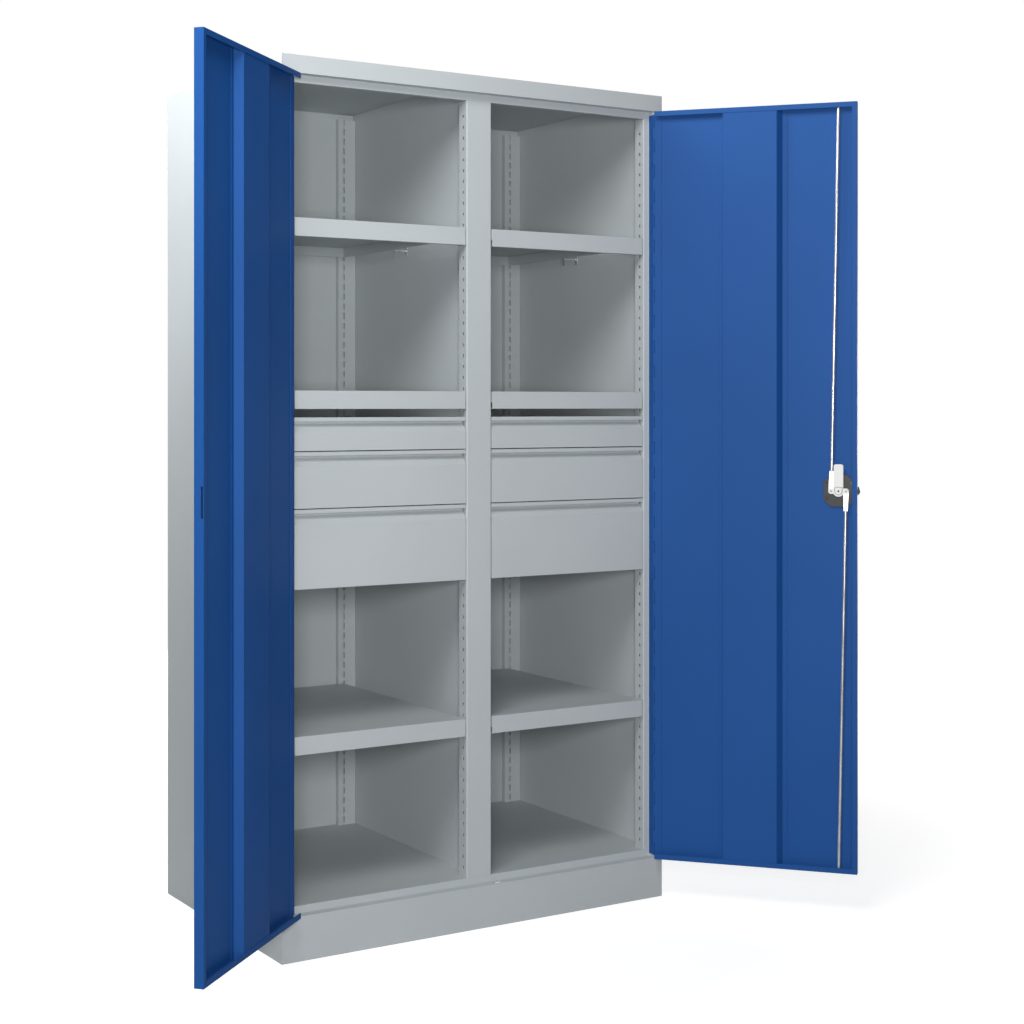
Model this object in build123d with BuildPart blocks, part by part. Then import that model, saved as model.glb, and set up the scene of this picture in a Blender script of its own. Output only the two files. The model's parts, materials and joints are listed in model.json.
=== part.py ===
"""Heavy-duty storage cabinet of folded sheet steel, with two hinged doors and six drawers.

The origin is the centre of the footprint on the floor, +Z is up and the doors face -Y. Lengths are
in millimetres and angles in degrees. The doors stand open, and every drawer is pushed in.
"""

import os
from math import atan2, cos, degrees, hypot, radians, sin

from build123d import *

os.makedirs("parts", exist_ok=True)

# Carcass
width = 1025.0
depth = 640.0
height = 1950.0
carcass_sheet = 1.5
plinth_height = 97.0
plinth_return = 45.0
foot_width = 25.0  # folded in along the floor under the side and back walls
cornice_height = 38.5
stop_lip = 16.5  # what the doors close against, above the plinth and below the cornice
stop_hem = 14.0
rebate = 22.0  # how far the stop faces lie behind the front
rear_flange = 15.0

# Posts and uprights
post_face = 23.0  # front face of a side panel, beside the door
side_post = 39.0  # from the outside of the cabinet to the compartment
centre_post = 67.0
post_flange = 36.0
post_hem = 15.0
post_bend = 3.0  # outer bend radius
upright_face = 50.0
upright_depth = 15.0
upright_gap = 14.5  # from the ceiling
hole_pitch = 25.0
hole_top_margin = 90.0  # from the top of the cabinet to the highest row
hole_floor_margin = 20.0  # the least room between the floor and the lowest row
hole_width = 6.0
hole_height = 6.5
hole_setback = 16.0  # behind the stop face

# Shelves
shelf_sheet = 1.5
shelf_lip = 40.0
shelf_hem = 15.0
shelf_drop = 6.5  # a shelf's top lies this far below a row of holes
shelf_side_gap = 3.0
shelf_rows = {"upper": 10, "middle": 25, "lower": 55}  # rows of holes, counted from the top
clip_sheet = 1.5
clip_width = 10.0
clip_ledge = 12.0
clip_rise = 11.0
clip_tongue = 3.0  # height of the tongue that hooks into a hole
clip_tongue_play = 0.5

# Drawers
drawer_sheet = 1.2
drawer_modules = {"top": 75.0, "middle": 125.0, "bottom": 175.0}
drawer_stack_gap = 17.5  # between the middle shelf's lip and the drawers under it
drawer_reveal = 1.0  # half the gap between two fronts
drawer_side_reveal = 2.0
drawer_back_gap = 33.0  # between the back of a closed drawer and the rear uprights
grip_depth = 16.0  # how far the recess under the lip reaches in
grip_lip = 9.0
grip_lip_setback = 2.0
grip_throat = 14.0
grip_slope = 19.0
front_return = 14.0
box_hem = 6.0
box_below_front = 1.5
box_back_drop = 8.0
band_height = 20.0  # pressed bands that stiffen a tall drawer's sides
band_depth = 1.0
band_slope = 30.0
band_margin = 40.0
band_min_front = 150.0
bands = 2

# Runners, measured across the gap between a post and its drawer
runner_gap = 12.2
rail_sheet = 1.2
rail_height = 20.0
rail_flange = 10.3
rail_above_front = 28.0  # from a front's lower edge to the top of its cabinet rail
rail_setback = 2.0
runner_lift = 2.0  # the drawer's runner over the cabinet rail
runner_flange = 10.2
runner_foot = 10.0
glide_length = 24.0  # the plastic blocks that the runners slide on
glide_width = 8.0
glide_play = 0.05
glide_chamfer = 1.5

# Doors and hinges
door_sheet = 1.2
door_pan = 20.0
door_lip = 12.0
door_floor_gap = 2.0
door_cornice_gap = 4.0
door_centre_gap = 3.0
left_door_open = 138.7
right_door_open = 131.5
hinge_leaf = 1.2
hinge_leaf_width = 20.0
knuckle_radius = 3.0
knuckle_clearance = 0.2  # between the knuckles and the rebate they stand beside
knuckle_gap = 0.3
knuckle_edge_gap = 0.4
pin_radius = 1.5
pin_clearance = 0.05
hinge_inset = 5.0
hinge_knuckles = 3
pan_hinge_gap = 2.6  # between a hinge leaf's edge line and the pan's end flanges
stiffener_near = 172.0  # from the hinge axis
stiffener_face = 126.0
stiffener_slope = 12.0
stiffener_foot = 12.0
stiffener_sheet = 1.0

# Lock in the right door
lock_from_edge = 43.0
lock_height = 995.0
plate_width = 72.0
plate_height = 74.0
plate_corner = 16.0
plate_thickness = 5.0
hub_radius = 8.0
hub_clearance = 0.05
hub_skin_gap = 1.0  # the hole for the hub in the door's skin is wider than the hub
cam_thickness = 3.0
cam_radius = 13.0  # of the cam's body, below its axis
cam_ear = 6.5  # radius of the ears that carry the rod pins
tongue_length = 63.0
tongue_width = 22.0
tongue_corner = 5.0
tongue_slot_gap = 0.8
rod_crank = 17.0  # from the cam's axis to a rod pin
rod_pin_radius = 3.0
rod_pin_clearance = 0.05
rod_radius = 4.0
rod_gap = 0.3  # between a rod's sleeve and the base plate, and between it and the cam
sleeve_width = 12.6
sleeve_length = 47.0
sleeve_taper = 2.0
rod_inset = 1.5  # the unlocked rods end this far inside the door
rod_slot_width = 17.0
rod_slot_gap = 1.0
spindle_side = 8.0
spindle_clearance = 0.05
escutcheon_radius = 26.0
escutcheon_thickness = 5.0
escutcheon_bevel = 1.5
handle_hub_radius = 14.0
handle_length = 96.0
handle_width = 26.0
handle_thickness = 12.0
handle_edge = 3.0
handle_gap = 0.3
cylinder_radius = 8.5
cylinder_clearance = 0.05
cylinder_length = 11.7
cylinder_end_gap = 0.3
cylinder_proud = 1.0
key_slot_width = 1.6
key_slot_length = 9.0
key_slot_depth = 6.0
screw_radius = 3.5
screw_clearance = 0.05
screw_head = 1.8  # hexagonal, and sunk in the base plate under the cam
screws_across = 56.0
screws_apart = 37.0

# Places worked out from the sizes above
front = -depth / 2
back = depth / 2
left = -width / 2
stop_face = front + rebate
cornice_bottom = height - cornice_height
lip_bottom = cornice_bottom - stop_lip
floor_top = plinth_height + stop_lip
ceiling = height - carcass_sheet
back_inside = back - 2 * carcass_sheet
upright_front = back_inside - upright_depth
inside_left = left + carcass_sheet
compartment_width = (width - 2 * side_post - centre_post) / 2
column_centre = (centre_post + compartment_width) / 2
post_back = stop_face + post_flange
hole_top = height - hole_top_margin
hole_count = 1 + int((hole_top - floor_top - hole_floor_margin) // hole_pitch)

# A door's own frame has its origin on the hinge axis, x towards the free edge and y into the cabinet
leaf_out = knuckle_radius + knuckle_clearance
skin_out = leaf_out - hinge_leaf - door_sheet
skin_in = skin_out + door_sheet
hinge_x = width / 2 - post_face - leaf_out
hinge_y = front - skin_out
pan_back = skin_out + door_pan
door_edge = hinge_x - door_centre_gap / 2
door_bottom = plinth_height + door_floor_gap
door_top = cornice_bottom - door_cornice_gap
leaf_edge = knuckle_radius + knuckle_edge_gap
pan_start = leaf_edge + pan_hinge_gap
lock_x = door_edge - lock_from_edge
plate_face = skin_in + plate_thickness
sleeve_front = plate_face + rod_gap
sleeve_back = sleeve_front + 2 * rod_radius
rod_y = sleeve_front + rod_radius
cam_front = sleeve_back + rod_gap
cam_back = cam_front + cam_thickness
columns = {"left": -1, "right": 1}


def folded(points, thickness, side=Side.LEFT, bend=0.0):
    """Section of a sheet folded along the points, with its thickness on the given side of them."""
    with BuildSketch() as section:
        with BuildLine() as outline:
            if bend:
                FilletPolyline(*points, radius=bend)
            else:
                Polyline(*points)
            offset(amount=thickness, side=side, kind=Kind.INTERSECTION)
        make_face()
    return section.sketch


def keep(name, label):
    """Label a finished piece and write it to its own file."""
    name.part.label = label
    export_step(name.part, f"parts/{label}.step")


def hole_z(row):
    """Height of a row of shelf holes, counted down from the top row."""
    return hole_top - row * hole_pitch


# Side panels: a wall with a rear flange, and a folded front face that makes the door's rebate
with BuildPart() as left_side_panel:
    with BuildSketch():
        add(folded([(left + rear_flange, back), (left, back), (left, front)], carcass_sheet))
    extrude(amount=height)
    face_edge = left + post_face
    with BuildSketch(Plane.XY.offset(plinth_height)):
        add(folded([(left, front), (face_edge, front), (face_edge, stop_face)], carcass_sheet))
    extrude(amount=cornice_bottom - plinth_height)
keep(left_side_panel, "left_side_panel")

with BuildPart() as right_side_panel:
    mirror(left_side_panel.part, about=Plane.YZ)
keep(right_side_panel, "right_side_panel")

inside_width = width - 2 * carcass_sheet

with BuildPart() as back_panel:
    with BuildSketch(Plane.XY):
        with Locations((0, back_inside + carcass_sheet / 2)):
            Rectangle(inside_width, carcass_sheet)
    extrude(amount=ceiling)
keep(back_panel, "back_panel")

# The rods of the lock shoot into a hole in the cornice ledge and one in the plinth ledge
latch_x = hinge_x - lock_x
latch_y = hinge_y + rod_y
latch_length = rod_slot_width
latch_width = 2 * (rod_radius + rod_slot_gap)

with BuildPart() as top_panel:
    top_line = [
        (back - carcass_sheet, height),
        (front, height),
        (front, cornice_bottom),
        (stop_face, cornice_bottom),
        (stop_face, lip_bottom),
        (stop_face + stop_hem, lip_bottom),
    ]
    with BuildSketch(Plane.YZ.offset(inside_left)):
        add(folded(top_line, carcass_sheet))
    extrude(amount=inside_width)
    with BuildSketch(Plane.XY.offset(cornice_bottom)):
        with Locations((latch_x, latch_y)):
            Rectangle(latch_length, latch_width)
    extrude(amount=carcass_sheet, mode=Mode.SUBTRACT)
keep(top_panel, "top_panel")

with BuildPart() as plinth:
    plinth_line = [
        (front + plinth_return, plinth_height),
        (front, plinth_height),
        (front, 0),
    ]
    with BuildSketch(Plane.YZ.offset(inside_left)):
        add(folded(plinth_line, carcass_sheet))
    extrude(amount=inside_width)
    with BuildSketch(Plane.XY):
        with Locations((0, (front + back_inside) / 2)):
            Rectangle(inside_width, back_inside - front)
        with Locations((0, (front + plinth_return + back_inside - foot_width) / 2)):
            hollow_depth = back_inside - foot_width - front - plinth_return
            Rectangle(inside_width - 2 * foot_width, hollow_depth, mode=Mode.SUBTRACT)
    extrude(amount=carcass_sheet)
    with BuildSketch(Plane.XY.offset(plinth_height)):
        with Locations((latch_x, latch_y)):
            Rectangle(latch_length, latch_width)
    extrude(amount=-carcass_sheet, mode=Mode.SUBTRACT)
keep(plinth, "plinth")

with BuildPart() as floor_panel:
    floor_line = [(back_inside, floor_top), (stop_face, floor_top), (stop_face, plinth_height)]
    with BuildSketch(Plane.YZ.offset(inside_left)):
        add(folded(floor_line, carcass_sheet))
    extrude(amount=inside_width)
keep(floor_panel, "floor_panel")

with BuildPart() as centre_partition:
    web_x = -carcass_sheet / 2
    web_line = [
        (centre_post / 2 - carcass_sheet, post_back),
        (web_x, post_back),
        (web_x, back_inside),
    ]
    with BuildSketch(Plane.XY.offset(floor_top)):
        add(folded(web_line, carcass_sheet, Side.RIGHT))
    extrude(amount=ceiling - floor_top)
keep(centre_partition, "centre_partition")


def hole_column():
    """Holes of one post flange, as a face in a plane whose x is the cabinet's y."""
    with BuildSketch() as column:
        with Locations((stop_face + hole_setback, hole_z((hole_count - 1) / 2))):
            with GridLocations(0, hole_pitch, 1, hole_count):
                Rectangle(hole_width, hole_height)
    return column.sketch


post_length = lip_bottom - floor_top

with BuildPart() as centre_post_part:
    half = centre_post / 2
    centre_line = [
        (-half + post_hem, post_back),
        (-half, post_back),
        (-half, stop_face),
        (half, stop_face),
        (half, post_back),
        (half - post_hem, post_back),
    ]
    with BuildSketch(Plane.XY.offset(floor_top)):
        add(folded(centre_line, carcass_sheet, bend=post_bend))
    extrude(amount=post_length)
    with BuildSketch(Plane.YZ):
        add(hole_column())
    extrude(amount=half, both=True, mode=Mode.SUBTRACT)
keep(centre_post_part, "centre_post")

with BuildPart() as side_post_profile:
    post_x = left + side_post
    side_line = [
        (inside_left, stop_face),
        (post_x, stop_face),
        (post_x, post_back),
        (post_x - post_hem, post_back),
    ]
    with BuildSketch(Plane.XY.offset(floor_top)):
        add(folded(side_line, carcass_sheet, bend=post_bend))
    extrude(amount=post_length)
    with BuildSketch(Plane.YZ.offset(post_x)):
        add(hole_column())
    extrude(amount=-2 * carcass_sheet, mode=Mode.SUBTRACT)

with BuildPart() as side_front_posts:
    add(side_post_profile.part)
    mirror(side_post_profile.part, about=Plane.YZ)
keep(side_front_posts, "side_front_posts")

# Rear uprights: one in each rear corner of both columns
with BuildPart() as rear_uprights:
    wall_x = -carcass_sheet / 2
    inner_line = [
        (wall_x, upright_front),
        (wall_x - upright_face, upright_front),
        (wall_x - upright_face, back_inside),
    ]
    outer_line = [
        (inside_left, upright_front),
        (inside_left + upright_face, upright_front),
        (inside_left + upright_face, back_inside),
    ]
    with BuildSketch(Plane.XY.offset(floor_top)):
        add(folded(inner_line, carcass_sheet, Side.RIGHT))
        add(folded(outer_line, carcass_sheet))
        mirror(about=Plane.YZ)
    extrude(amount=ceiling - upright_gap - floor_top)
keep(rear_uprights, "rear_uprights")

# Shelves
shelf_width = compartment_width - 2 * shelf_side_gap
shelf_back = upright_front - clip_sheet
shelf_flange = hole_pitch


def shelf_top(row):
    """Height of the surface of a shelf that hangs below a row of holes."""
    return hole_z(row) - shelf_drop


for row_name, row in shelf_rows.items():
    for column, sign in columns.items():
        middle = sign * column_centre
        top = shelf_top(row)
        with BuildPart() as shelf:
            deck_line = [
                (shelf_back, top - shelf_flange),
                (shelf_back, top),
                (stop_face, top),
                (stop_face, top - shelf_lip),
                (stop_face + shelf_hem, top - shelf_lip),
            ]
            with BuildSketch(Plane.YZ.offset(middle - shelf_width / 2)):
                add(folded(deck_line, shelf_sheet))
            extrude(amount=shelf_width)
            side_line = [
                (middle - shelf_width / 2, top - shelf_flange),
                (middle - shelf_width / 2, top),
                (middle + shelf_width / 2, top),
                (middle + shelf_width / 2, top - shelf_flange),
            ]
            with BuildSketch(Plane.XZ.offset(-stop_face)):
                add(folded(side_line, shelf_sheet, Side.RIGHT))
            extrude(amount=stop_face - shelf_back)
        keep(shelf, f"{column}_{row_name}_shelf")

# Shelf clips: an angle on each post flange and rear upright, with a tongue in the hole
with BuildPart() as shelf_clips:
    for row in shelf_rows.values():
        ledge = shelf_top(row) - shelf_flange
        hook = hole_z(row + 1)
        for sign in columns.values():
            for side in columns.values():
                flange_x = sign * column_centre + side * compartment_width / 2
                inward = -side
                clip_line = [
                    (flange_x, ledge + clip_rise),
                    (flange_x, ledge - clip_sheet),
                    (flange_x + inward * clip_ledge, ledge - clip_sheet),
                ]
                hand = Side.LEFT if inward > 0 else Side.RIGHT
                clip_y = stop_face + hole_setback
                with BuildSketch(Plane.XZ.offset(-clip_y)):
                    add(folded(clip_line, clip_sheet, hand))
                extrude(amount=clip_width / 2, both=True)
                with BuildSketch(Plane.XZ.offset(-clip_y)):
                    with Locations((flange_x - inward * carcass_sheet, hook)):
                        Rectangle(2 * carcass_sheet, clip_tongue)
                extrude(amount=hole_width / 2 - clip_tongue_play, both=True)
                rear_line = [
                    (upright_front, ledge + clip_rise),
                    (upright_front, ledge - clip_sheet),
                    (upright_front - clip_ledge, ledge - clip_sheet),
                ]
                rear_x = flange_x + inward * clip_width / 2
                with BuildSketch(Plane.YZ.offset(rear_x)):
                    add(folded(rear_line, clip_sheet, Side.RIGHT))
                extrude(amount=clip_width / 2, both=True)
keep(shelf_clips, "shelf_clips")

# Runners. In a runner's section the gap runs from the post, at 0, to the drawer's side, at runner_gap
grip_back = stop_face + grip_depth + drawer_sheet
rail_front = grip_back + rail_setback
rail_length = upright_front - rail_front
box_width = compartment_width - 2 * runner_gap
box_back = upright_front - drawer_back_gap
drawer_depth = box_back - grip_back
runner_web = runner_gap - rail_sheet
runner_depth = rail_height - rail_sheet - runner_lift


def drawer_spans():
    """Names and lower and upper edges of the drawer fronts of one column, from the top down."""
    spans = {}
    upper = shelf_top(shelf_rows["middle"]) - shelf_lip - drawer_stack_gap
    for name, module in drawer_modules.items():
        spans[name] = (upper - module + drawer_reveal, upper - drawer_reveal)
        upper -= module
    return spans


def across(sign, side, gap):
    """X of a place in the runner gap on one side of a column."""
    return sign * column_centre + side * (compartment_width / 2 - gap)


for column, sign in columns.items():
    with BuildPart() as rails:
        for low, high in drawer_spans().values():
            rail_top = low + rail_above_front
            for side in columns.values():
                rail_line = [
                    (across(sign, side, rail_flange), rail_top),
                    (across(sign, side, 0), rail_top),
                    (across(sign, side, 0), rail_top - rail_height),
                    (across(sign, side, rail_flange), rail_top - rail_height),
                ]
                hand = Side.LEFT if side < 0 else Side.RIGHT
                with BuildSketch(Plane.XZ.offset(-rail_front)):
                    add(folded(rail_line, rail_sheet, hand))
                extrude(amount=-rail_length)
                # the upper flange is cut back where the front glide stands through it
                flange_middle = across(sign, side, (rail_flange + rail_sheet) / 2)
                with BuildSketch(Plane.XY.offset(rail_top)):
                    with Locations((flange_middle, rail_front + glide_length / 2)):
                        Rectangle(rail_flange - rail_sheet, glide_length)
                extrude(amount=-rail_sheet, mode=Mode.SUBTRACT)
    keep(rails, f"{column}_cabinet_rails")


def glide_pair(sign, start_y, low_z, high_z, first_gap):
    """Plastic blocks on both sides of a drawer, with chamfered ends to slide on."""
    with BuildPart() as pair:
        for side in columns.values():
            with BuildSketch(Plane.YZ.offset(across(sign, side, first_gap))):
                with Locations((start_y + glide_length / 2, (low_z + high_z) / 2)):
                    Rectangle(glide_length, high_z - low_z)
                chamfer(vertices(), glide_chamfer)
            extrude(amount=-side * glide_width)
    return pair


for column, sign in columns.items():
    with BuildPart() as rail_glides:
        for low, high in drawer_spans().values():
            rail_top = low + rail_above_front
            add(glide_pair(
                sign, rail_front, rail_top - rail_height + rail_sheet,
                rail_top + runner_lift - glide_play, rail_sheet,
            ).part)
    keep(rail_glides, f"{column}_rail_glides")


for column, sign in columns.items():
    middle = sign * column_centre
    for name, (low, high) in drawer_spans().items():
        rail_top = low + rail_above_front
        prefix = f"{column}_{name}"

        # Front: a folded face with a recessed grip under its upper lip, and closed ends
        front_width = compartment_width - 2 * drawer_side_reveal
        inner = stop_face + drawer_sheet
        lip_face = stop_face + grip_lip_setback
        slope_top = high - grip_throat
        slope_foot = slope_top - grip_slope
        front_line = [
            (stop_face + front_return, low + drawer_sheet),
            (inner, low + drawer_sheet),
            (inner, slope_foot),
            (grip_back, slope_top),
            (grip_back, high),
            (lip_face, high),
            (lip_face, high - grip_lip),
        ]
        with BuildPart() as drawer_front:
            with BuildSketch(Plane.YZ.offset(middle - front_width / 2)):
                add(folded(front_line, drawer_sheet))
            extrude(amount=front_width)
            end_line = [
                (grip_back, slope_top),
                (inner, slope_foot),
                (inner, low + drawer_sheet),
                (grip_back, low + drawer_sheet),
            ]
            for side in columns.values():
                with BuildSketch(Plane.YZ.offset(middle + side * front_width / 2)):
                    Polygon(*end_line, align=None)
                extrude(amount=-side * drawer_sheet)
        keep(drawer_front, f"{prefix}_drawer_front")

        # Box: folded sides and floor, end walls, and a runner along each side
        box_floor = rail_top + runner_lift - runner_depth
        box_top = high - box_below_front
        half = box_width / 2
        with BuildPart() as drawer_box:
            tray_line = [
                (middle - half + box_hem, box_top),
                (middle - half, box_top),
                (middle - half, box_floor),
                (middle + half, box_floor),
                (middle + half, box_top),
                (middle + half - box_hem, box_top),
            ]
            with BuildSketch(Plane.XZ.offset(-grip_back)):
                add(folded(tray_line, drawer_sheet))
            extrude(amount=-drawer_depth)
            end_walls = {grip_back: box_top, box_back - drawer_sheet: box_top - box_back_drop}
            for wall_y, wall_top in end_walls.items():
                with BuildSketch(Plane.XZ.offset(-wall_y)):
                    with Locations((middle, (box_floor + wall_top) / 2)):
                        Rectangle(box_width, wall_top - box_floor)
                extrude(amount=-drawer_sheet)
            for side in columns.values():
                runner_line = [
                    (across(sign, side, runner_gap - runner_flange), rail_top + runner_lift),
                    (across(sign, side, runner_web), rail_top + runner_lift),
                    (across(sign, side, runner_web), box_floor - rail_sheet),
                    (across(sign, side, runner_gap + runner_foot), box_floor - rail_sheet),
                ]
                hand = Side.LEFT if side < 0 else Side.RIGHT
                with BuildSketch(Plane.XZ.offset(-grip_back)):
                    add(folded(runner_line, rail_sheet, hand))
                extrude(amount=-drawer_depth)
            if high - low > band_min_front:
                # pressed bands, which stand out into the runner gap's free height above the runner
                clear_low = rail_top + runner_lift + rail_sheet
                band_pitch = (box_top - clear_low) / bands
                for side in columns.values():
                    with BuildSketch(Plane.YZ.offset(middle + side * half)):
                        with Locations(((grip_back + box_back) / 2, (clear_low + box_top) / 2)):
                            with GridLocations(0, band_pitch, 1, bands):
                                Rectangle(drawer_depth - 2 * band_margin, band_height)
                    extrude(amount=side * band_depth, taper=band_slope)
        keep(drawer_box, f"{prefix}_drawer_box")

        drawer_glides = glide_pair(
            sign, box_back - glide_length, rail_top - rail_height + rail_sheet + glide_play,
            rail_top - rail_sheet - glide_play, runner_web - glide_width,
        )
        keep(drawer_glides, f"{prefix}_drawer_glides")


# Doors. Each is drawn in its own frame, which stands at the angle at which the door is open
def door_frame(sign, opening):
    """Plane of a door: origin on the hinge axis, z up, and y into the cabinet when it is shut."""
    swing = radians(opening)
    return Plane(
        origin=(sign * hinge_x, hinge_y, 0),
        x_dir=(cos(swing), sign * sin(swing), 0),
        z_dir=(0, 0, 1),
    )


door_frames = {
    "left": door_frame(-1, left_door_open),
    "right": door_frame(1, right_door_open),
}
hinge_low = door_bottom + hinge_inset
hinge_high = door_top - hinge_inset
knuckle_pitch = (hinge_high - hinge_low) / hinge_knuckles


def raised(frame, z):
    """A door's plane at a height above the floor."""
    return frame.offset(z)


def knuckle_spans(first):
    """Heights of every second knuckle, from the first one on."""
    return [hinge_low + knuckle_pitch * n for n in range(first, hinge_knuckles, 2)]


def hinge_half(frame, first, hand, upright):
    """A leaf of a piano hinge: bored on the door's skin, or with the pin on the post's rebate."""
    with BuildPart() as half_hinge:
        leaf_far = hinge_leaf_width
        with BuildSketch(raised(frame, hinge_low)):
            if upright:
                with Locations((-hand * (leaf_out - hinge_leaf / 2), (leaf_edge + leaf_far) / 2)):
                    Rectangle(hinge_leaf, leaf_far - leaf_edge)
            else:
                with Locations((hand * (leaf_edge + leaf_far) / 2, leaf_out - hinge_leaf / 2)):
                    Rectangle(leaf_far - leaf_edge, hinge_leaf)
        extrude(amount=hinge_high - hinge_low)
        for z in knuckle_spans(first):
            with BuildSketch(raised(frame, z + knuckle_gap / 2)):
                Circle(knuckle_radius)
                if upright:
                    with Locations((-hand * (leaf_out - hinge_leaf / 2), leaf_edge / 2)):
                        Rectangle(hinge_leaf, leaf_edge)
                else:
                    with Locations((hand * leaf_edge / 2, leaf_out - hinge_leaf / 2)):
                        Rectangle(leaf_edge, hinge_leaf)
                    Circle(pin_radius + pin_clearance, mode=Mode.SUBTRACT)
            extrude(amount=knuckle_pitch - knuckle_gap)
        if upright:
            with BuildSketch(raised(frame, hinge_low + knuckle_gap)):
                Circle(pin_radius)
            extrude(amount=hinge_high - hinge_low - 2 * knuckle_gap)
    return half_hinge


for door, sign in columns.items():
    frame = door_frames[door]
    hand = -sign  # x of the door's frame runs to the free edge on the left door, and from it on the right
    with BuildPart() as skin:
        # a shallow pan without a wall on the hinge side
        with BuildSketch(raised(frame, door_bottom)):
            with Locations((hand * (leaf_edge + door_edge) / 2, (skin_out + skin_in) / 2)):
                Rectangle(door_edge - leaf_edge, door_sheet)
            with Locations((hand * (pan_start + door_edge) / 2, (skin_out + pan_back) / 2)):
                Rectangle(door_edge - pan_start, door_pan)
        extrude(amount=door_top - door_bottom)
        hollow_end = door_edge - door_sheet
        with BuildSketch(raised(frame, door_bottom + door_sheet)):
            with Locations((hand * hollow_end / 2, (skin_in + pan_back - door_sheet) / 2)):
                Rectangle(hollow_end, pan_back - door_sheet - skin_in)
        extrude(amount=door_top - door_bottom - 2 * door_sheet, mode=Mode.SUBTRACT)
        opening_end = door_edge - door_lip
        with BuildSketch(raised(frame, door_bottom + door_lip)):
            with Locations((hand * opening_end / 2, pan_back - door_sheet / 2)):
                Rectangle(opening_end, door_sheet)
        extrude(amount=door_top - door_bottom - 2 * door_lip, mode=Mode.SUBTRACT)
        # slot for the tongue of the lock in the wall at the free edge
        slot_low = lock_height - tongue_width / 2 - tongue_slot_gap
        wall_inside = lock_from_edge - door_sheet
        corner_at = (tongue_length - tongue_corner, tongue_width / 2 - tongue_corner)
        tongue_reach = hypot(*corner_at) + tongue_corner
        slot_high = lock_height + (tongue_reach**2 - wall_inside**2) ** 0.5 + tongue_slot_gap
        with BuildSketch(raised(frame, slot_low)):
            with Locations((hand * (door_edge - door_sheet / 2), (cam_front + cam_back) / 2)):
                Rectangle(2 * door_sheet, cam_thickness + 2 * tongue_slot_gap)
        extrude(amount=slot_high - slot_low, mode=Mode.SUBTRACT)
        if door == "right":
            for z in (door_bottom, door_top - door_sheet):
                with BuildSketch(raised(frame, z)):
                    with Locations((hand * lock_x, rod_y)):
                        Rectangle(rod_slot_width, latch_width)
                extrude(amount=door_sheet, mode=Mode.SUBTRACT)
            spindle_plane = Plane(
                origin=frame.from_local_coords((hand * lock_x, 0, lock_height)),
                x_dir=frame.x_dir,
                z_dir=frame.from_local_coords(Vector(0, 1, 0)) - frame.origin,
            )
            with BuildSketch(spindle_plane.offset(skin_out)):
                Circle(hub_radius + hub_skin_gap)
            extrude(amount=door_sheet, mode=Mode.SUBTRACT)
    keep(skin, f"{door}_door_skin")

    with BuildPart() as stiffener:
        hat_back = pan_back - door_sheet - stiffener_sheet
        hat_foot = skin_in
        near = stiffener_near
        hat_line = [
            (near - stiffener_foot, hat_foot),
            (near, hat_foot),
            (near, hat_back),
            (near + stiffener_face, hat_back),
            (near + stiffener_face + stiffener_slope, hat_foot),
            (near + stiffener_face + stiffener_slope + stiffener_foot, hat_foot),
        ]
        with BuildSketch(raised(frame, door_bottom + door_sheet)):
            hat = folded(hat_line, stiffener_sheet, Side.LEFT)
            add(hat if hand > 0 else mirror(hat, about=Plane.YZ, mode=Mode.PRIVATE))
        extrude(amount=door_top - door_bottom - 2 * door_sheet)
    keep(stiffener, f"{door}_door_stiffener")

    door_leaf = hinge_half(frame, 1, hand, upright=False)
    keep(door_leaf, f"{door}_door_hinge_leaf")

with BuildPart() as post_leaves:
    for sign in columns.values():
        add(hinge_half(door_frame(sign, 0), 0, -sign, upright=True).part)
keep(post_leaves, "post_hinge_leaves")

# Lock on the inside of the right door. Its planes face outward along the cam's axis, with x away
# from the free edge and y up
right_frame = door_frames["right"]
into_cabinet = right_frame.from_local_coords(Vector(0, 1, 0)) - right_frame.origin


def lock_plane(y, x=0.0, z=0.0, tilt=0.0):
    """Plane across the lock's axis, y deep in the door, moved by x from the free edge and z up."""
    origin = right_frame.from_local_coords((-lock_x + x, y, lock_height + z))
    lean = radians(tilt)
    across_door = right_frame.x_dir
    x_dir = across_door * cos(lean) + Vector(0, 0, 1) * sin(lean)
    return Plane(origin=origin, x_dir=x_dir, z_dir=into_cabinet * -1)


with BuildPart() as lock_base_plate:
    with BuildSketch(lock_plane(plate_face)):
        Rectangle(plate_width, plate_height)
        chamfer(vertices(), plate_corner)
        Circle(hub_radius, mode=Mode.SUBTRACT)
    extrude(amount=plate_thickness)
    with BuildSketch(lock_plane(plate_face)):
        with GridLocations(screws_across, screws_apart, 2, 2):
            RegularPolygon(screw_radius + screw_clearance, 6)
    extrude(amount=screw_head, mode=Mode.SUBTRACT)
keep(lock_base_plate, "lock_base_plate")

# The cam's tongue points up, and its ears carry the pins of the rods, which run between it and the plate
with BuildPart() as lock_cam:
    with BuildSketch(lock_plane(cam_back)):
        with Locations((0, tongue_length / 2)):
            Rectangle(tongue_width, tongue_length)
        fillet(vertices().group_by(Axis.Y)[-1], tongue_corner)
        Circle(cam_radius)
        SlotOverall(2 * (rod_crank + cam_ear), 2 * cam_ear)
    extrude(amount=cam_thickness)
    with BuildSketch(lock_plane(cam_front)):
        Circle(hub_radius - hub_clearance)
    extrude(amount=cam_front - skin_in)
    with BuildSketch(lock_plane(cam_front)):
        with Locations((-rod_crank, 0), (rod_crank, 0)):
            Circle(rod_pin_radius)
    extrude(amount=cam_front - sleeve_front)
    with BuildSketch(lock_plane(cam_back)):
        Rectangle(spindle_side + 2 * spindle_clearance, spindle_side + 2 * spindle_clearance)
    extrude(amount=cam_back - skin_in, mode=Mode.SUBTRACT)
keep(lock_cam, "lock_cam")

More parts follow.
